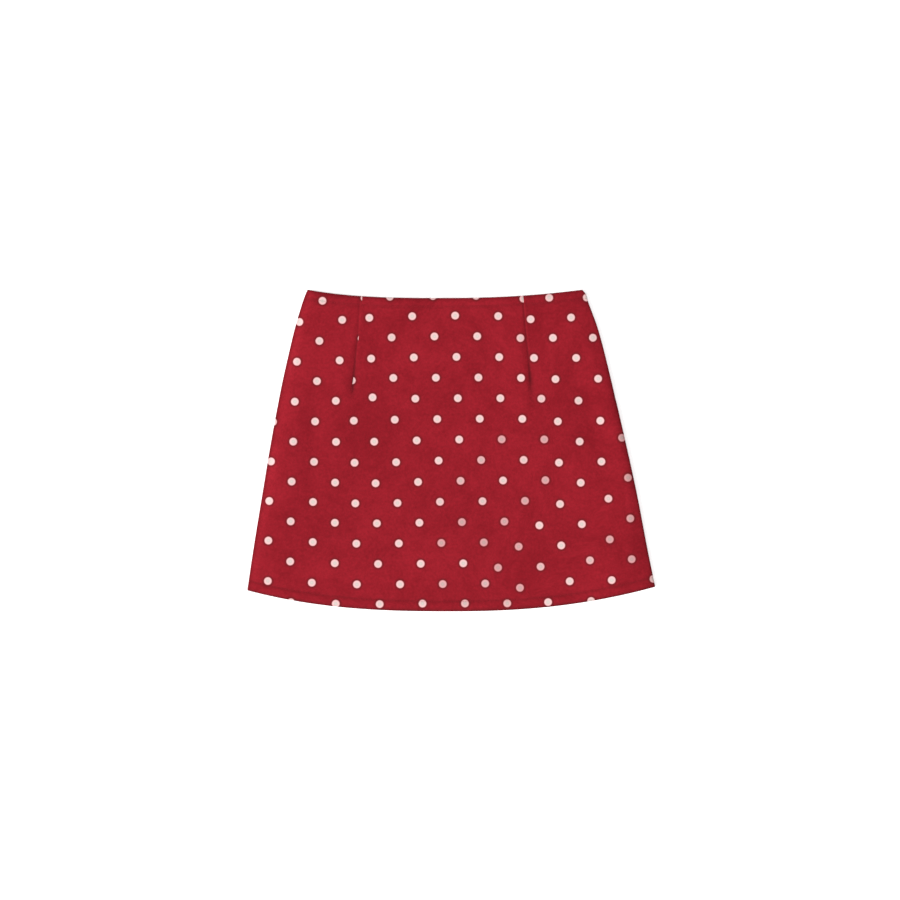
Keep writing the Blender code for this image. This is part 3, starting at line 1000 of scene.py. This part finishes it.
def clothMaterial(name, finish):
    material, tree, shader = newMaterial(name, finish["constants"])
    dots = groupNode(tree, dottedPrint, "dotPlace", finish["print"])
    nap = groupNode(tree, nappedCloth, "grainPlace", finish["nap"])
    dot = dots["Dot"]
    share = dots["From Middle"]
    # the soft cloud: partly random tone, partly painted shade
    cloud = ramp(tree, nap["Cloud"], *finish["cloudRange"])
    ground = mixColour(tree, cloud, finish["deep"], finish["light"])
    fibre = ramp(tree, nap["Fibre"], *finish["fibreRange"])
    ground = mixColour(tree, 1.0, ground, fibre, "MULTIPLY")
    # the cloth is a little darker round each dot
    haloShare = ramp(tree, share, *finish["haloRange"])
    ground = mixColour(tree, haloShare, ground, finish["halo"])
    dotColour = colourStops(tree, share, finish["dotStops"])
    # more of the dots are dull in two zones down the right half
    zone = ramp(tree, dots["Middle Across"], *finish["zoneSpan"], kind="LINEAR")
    zones = colourStops(tree, zone, finish["dullZones"])
    down = ramp(tree, dots["Middle Down"], *finish["dullDown"])
    dullShare = floatMath(tree, "MULTIPLY", zones, down)
    duller = floatMath(tree, "SUBTRACT", dullShare, dots["Chance"])
    dull = ramp(tree, duller, *finish["dullChange"])
    dotColour = mixColour(tree, dull, dotColour, finish["dullTint"], "MULTIPLY")
    colour = mixColour(tree, dot, ground, dotColour)
    # painted shade: the edges and the stitch and dart troughs are darkened, less so on the pale
    # print
    bared = ramp(tree, dot, 0.0, 1.0, 1.0, finish["onDots"])
    for layer, strength, tone in (
        ("edgeWear", finish["edgeShadeStrength"], finish["edgeShadeColour"]),
        ("sunk", finish["foldShade"], finish["foldColour"]),
    ):
        amount = addNode(tree, "ShaderNodeAttribute", attribute_name=layer)
        amount = floatMath(tree, "MULTIPLY", amount.outputs["Fac"], strength)
        amount = floatMath(tree, "MULTIPLY", amount, bared)
        colour = mixColour(tree, amount, colour, tone)
    rough = ramp(tree, dot, 0.0, 1.0, *finish["rough"])
    tree.links.new(rough, shader.inputs["Roughness"])
    # no weave shows on a dot, which stands a little proud
    weaveTall, dotTall = finish["heights"]
    bare = floatMath(tree, "SUBTRACT", 1.0, dot)
    weave = floatMath(tree, "MULTIPLY", nap["Height"], bare)
    weave = floatMath(tree, "MULTIPLY", weave, weaveTall)
    height = floatMath(tree, "MULTIPLY_ADD", dot, dotTall, weave)
    setSurface(tree, shader, colour, height, *finish["relief"])
    return material


# The cloth's wrong side: plainer and duller, with the twill showing
reverseFinish = {
    "deep": (0.20, 0.010, 0.016, 1),
    "light": (0.30, 0.020, 0.028, 1),
    "nap": {"Thread Spacing": 0.0007, "Cloud Width": 0.030},
    "relief": (0.6, 0.00005),
    "constants": {"Roughness": 0.9, "Specular IOR Level": 0.2},
}


def reverseMaterial(finish):
    material, tree, shader = newMaterial("cloth_reverse", finish["constants"])
    height = groupNode(tree, nappedCloth, "grainPlace", finish["nap"])["Height"]
    colour = mixColour(tree, height, finish["deep"], finish["light"])
    setSurface(tree, shader, colour, height, *finish["relief"])
    return material


# Sewing thread, its plies showing as a fine slant
threadFinish = {
    "deep": (0.150, 0.004, 0.008, 1),
    "light": (0.330, 0.012, 0.020, 1),
    "plies": {"Scale": 900.0, "Distortion": 1.5},
    "relief": (0.5, 0.00004),
    "constants": {"Roughness": 0.55, "Specular IOR Level": 0.2},
}


def threadMaterial(finish):
    material, tree, shader = newMaterial("sewing_thread", finish["constants"])
    place = addNode(tree, "ShaderNodeTexCoord").outputs["Object"]
    plies = {"Vector": place, **finish["plies"]}
    wave = addNode(tree, "ShaderNodeTexWave", plies, bands_direction="DIAGONAL")
    height = wave.outputs["Fac"]
    colour = mixColour(tree, height, finish["deep"], finish["light"])
    setSurface(tree, shader, colour, height, *finish["relief"])
    return material


# Stitches along a line on the cloth, metres
stitching = {
    "Pitch": 0.0031,
    "Length": 0.0023,
    "Thread Radius": 0.00017,
    "Arch": 0.00022,
    "Wobble": 0.09,
}
stitchPath = {
    "sideInset": 0.0022,  # from the side edges to a row's ends
    "points": 420,
    "lift": 0.00012,  # off the cloth
    "seeds": {"front": 3, "back": 8},
}


def stitchRowTree():
    tree = bpy.data.node_groups.new("Stitch row", "GeometryNodeTree")
    kinds = {"Path": "Geometry", **dict.fromkeys(stitching, "Float"), "Seed": "Int"}
    for label, kind in {**kinds, "Thread": "Material"}.items():
        tree.interface.new_socket(label, in_out="INPUT", socket_type="NodeSocket" + kind)
    tree.interface.new_socket("Stitches", in_out="OUTPUT", socket_type="NodeSocketGeometry")
    source = addNode(tree, "NodeGroupInput").outputs

    def add(kind, inputs=None, **settings):
        return addNode(tree, kind, inputs, **settings)

    def negative(value):
        return floatMath(tree, "MULTIPLY", value, -1.0)

    # a point for each stitch, and which way it lies
    curve = add("GeometryNodeMeshToCurve", {0: source["Path"]})
    spacing = {0: curve, "Length": source["Pitch"]}
    spaced = add("GeometryNodeResampleCurve", spacing, mode="LENGTH")
    tangent = {"Vector": add("GeometryNodeInputTangent")}
    facing = add("FunctionNodeAlignRotationToVector", tangent, axis="X")
    least = negative(source["Wobble"])
    limits = {2: least, 3: source["Wobble"], "Seed": source["Seed"]}
    sway = add("FunctionNodeRandomValue", limits, data_type="FLOAT").outputs[1]
    twist = add("FunctionNodeAxisAngleToRotation", {"Axis": (0, 0, 1), "Angle": sway})
    parts = {0: facing, 1: twist}
    turned = add("FunctionNodeRotateRotation", parts, rotation_space="LOCAL")

    # one stitch: a thread that arches out of the cloth and back
    half = floatMath(tree, "MULTIPLY", source["Length"], 0.5)
    dip = negative(source["Arch"])
    bend = {
        "Resolution": 5,
        "Start": add("ShaderNodeCombineXYZ", {0: negative(half), 2: dip}),
        "Middle": add("ShaderNodeCombineXYZ", {2: source["Arch"]}),
        "End": add("ShaderNodeCombineXYZ", {0: half, 2: dip}),
    }
    arc = add("GeometryNodeCurveQuadraticBezier", bend)
    ring = {"Resolution": 6, "Radius": source["Thread Radius"]}
    profile = add("GeometryNodeCurvePrimitiveCircle", ring)
    swept = {"Curve": arc, "Profile Curve": profile, "Fill Caps": True}
    stitch = add("GeometryNodeCurveToMesh", swept)

    row = {"Points": spaced, "Instance": stitch, "Rotation": turned}
    placed = add("GeometryNodeInstanceOnPoints", row)
    real = add("GeometryNodeRealizeInstances", {0: placed})
    smooth = add("GeometryNodeSetShadeSmooth", {0: real})
    sewn = add("GeometryNodeSetMaterial", {0: smooth, "Material": source["Thread"]})
    add("NodeGroupOutput", {"Stitches": sewn})
    return tree


def setInput(modifier, label, value):
    # a modifier knows its inputs by the sockets' identifiers
    for item in modifier.node_group.interface.items_tree:
        if item.item_type == "SOCKET" and item.in_out == "INPUT" and item.name == label:
            modifier[item.identifier] = value


def stitchedRows(name, form, surfaceAt, way, seed):
    # one path for each line of stitches, on the cloth's outer side. way is 1 where it faces up
    points = []
    edges = []
    for edge, line in form["stitchLine"].items():
        share = line / outline["centreLength"]
        along = np.full(stitchPath["points"], share if edge == "waist" else 1 - share)
        reach = 1 - stitchPath["sideInset"] / halfWidthAt(along[0])
        across = np.linspace(-reach, reach, len(along))
        x, y = placeOf(across, along)
        z, _ = surfaceAt(across, along)
        first = len(points)
        points += np.stack([x, y, z + way * stitchPath["lift"]], 1).tolist()
        edges += [(first + i, first + i + 1) for i in range(len(along) - 1)]
    path = bpy.data.meshes.new(name + "Path")
    path.from_pydata(points, edges, [])
    guide = bpy.data.objects.new(name + "Path", path)
    scene.collection.objects.link(guide)
    sewing = guide.modifiers.new("stitch row", "NODES")
    sewing.node_group = stitchRow
    values = {**stitching, "Arch": way * stitching["Arch"], "Seed": seed, "Thread": thread}
    for label, value in values.items():
        setInput(sewing, label, value)
    bpy.context.view_layer.update()
    graph = bpy.context.evaluated_depsgraph_get()
    mesh = bpy.data.meshes.new_from_object(guide.evaluated_get(graph))
    mesh.name = name
    bpy.data.objects.remove(guide, do_unlink=True)
    rows = bpy.data.objects.new(name, mesh)
    scene.collection.objects.link(rows)
    print(name, "sewn:", len(mesh.polygons), "faces")
    return rows


frontCloth = buildPanel("frontPanelCloth", frontForm, frontColumns, frontSurface, printPlace, True)
backCloth = buildPanel("backPanelCloth", backForm, backColumns, backSurface, backPrintPlace, False)
reverseCloth = reverseMaterial(reverseFinish)
for panel, name in ((frontCloth, "front_dotted_cloth"), (backCloth, "back_dotted_cloth")):
    panel.data.materials.append(clothMaterial(name, clothFinish))
    panel.data.materials.append(reverseCloth)

stitchRow = stitchRowTree()
thread = threadMaterial(threadFinish)
seeds = stitchPath["seeds"]
frontStitches = stitchedRows("frontStitching", frontForm, frontSurface, 1, seeds["front"])
backStitches = stitchedRows("backStitching", backForm, backSurface, -1, seeds["back"])

for piece, slot in (
    (frontCloth, "front_cloth"),
    (backCloth, "back_cloth"),
    (frontStitches, "front_cloth"),
    (backStitches, "back_cloth"),
):
    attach(piece, "root")
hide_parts("front_panel")
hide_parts("back_panel")
# Floor, light and camera
studio = {
    "floorZ": -0.0002,
    "floorHalf": 8.0,
    "floorColours": ((0.92, 0.92, 0.92, 1), (0.93, 0.93, 0.93, 1)),
    "floorGrain": 60.0,
    "floorConstants": {
        "Roughness": 0.7,
        "Specular IOR Level": 0.2,
        "Emission Color": (1, 1, 1, 1),
        "Emission Strength": 0.36,  # a light table's, so the skirt's shadow stays faint
    },
    "worldLight": 0.28,
    # strength, direction it comes from in degrees, height over the floor, and how wide it spreads
    "windowLight": (5.1, 196.0, 24.0, 30.0),
    "overheadLight": (1.22, 0.0, 90.0, 60.0),
    "cameraLens": 100.0,
    "fieldWidth": 1.1493,  # what the picture spans at the skirt
    "fieldCentre": (-0.00166, 0.00070),
}


def buildFloor():
    half = studio["floorHalf"]
    mesh = bpy.data.meshes.new("floor")
    corners = [(-half, -half), (half, -half), (half, half), (-half, half)]
    mesh.from_pydata([(x, y, studio["floorZ"]) for x, y in corners], [], [(0, 1, 2, 3)])
    material, tree, shader = newMaterial("pale_floor", studio["floorConstants"])
    place = addNode(tree, "ShaderNodeTexCoord").outputs["Object"]
    grain = addNode(tree, "ShaderNodeTexNoise", {0: place, "Scale": studio["floorGrain"]})
    colour = mixColour(tree, grain.outputs[0], *studio["floorColours"])
    tree.links.new(colour, shader.inputs["Base Color"])
    mesh.materials.append(material)
    floor = bpy.data.objects.new("floor", mesh)
    scene.collection.objects.link(floor)
    return floor


buildFloor()
world = bpy.data.worlds.new("studio")
world.use_nodes = True
world.node_tree.nodes["Background"].inputs["Color"].default_value = (1, 1, 1, 1)
world.node_tree.nodes["Background"].inputs["Strength"].default_value = studio["worldLight"]
scene.world = world
for name in ("windowLight", "overheadLight"):
    strength, turn, height, spread = studio[name]
    light = bpy.data.lights.new(name, "SUN")
    light.energy = strength
    light.angle = math.radians(spread)
    lamp = bpy.data.objects.new(name, light)
    lamp.rotation_euler = (0, math.radians(90 - height), math.radians(turn))
    scene.collection.objects.link(lamp)
camera = bpy.data.objects.new("camera", bpy.data.cameras.new("camera"))
camera.data.lens = studio["cameraLens"]
distance = studio["fieldWidth"] * studio["cameraLens"] / camera.data.sensor_width
camera.location = (*studio["fieldCentre"], distance + frontForm["level"])
scene.collection.objects.link(camera)
scene.camera = camera
print("floor, light and camera placed")
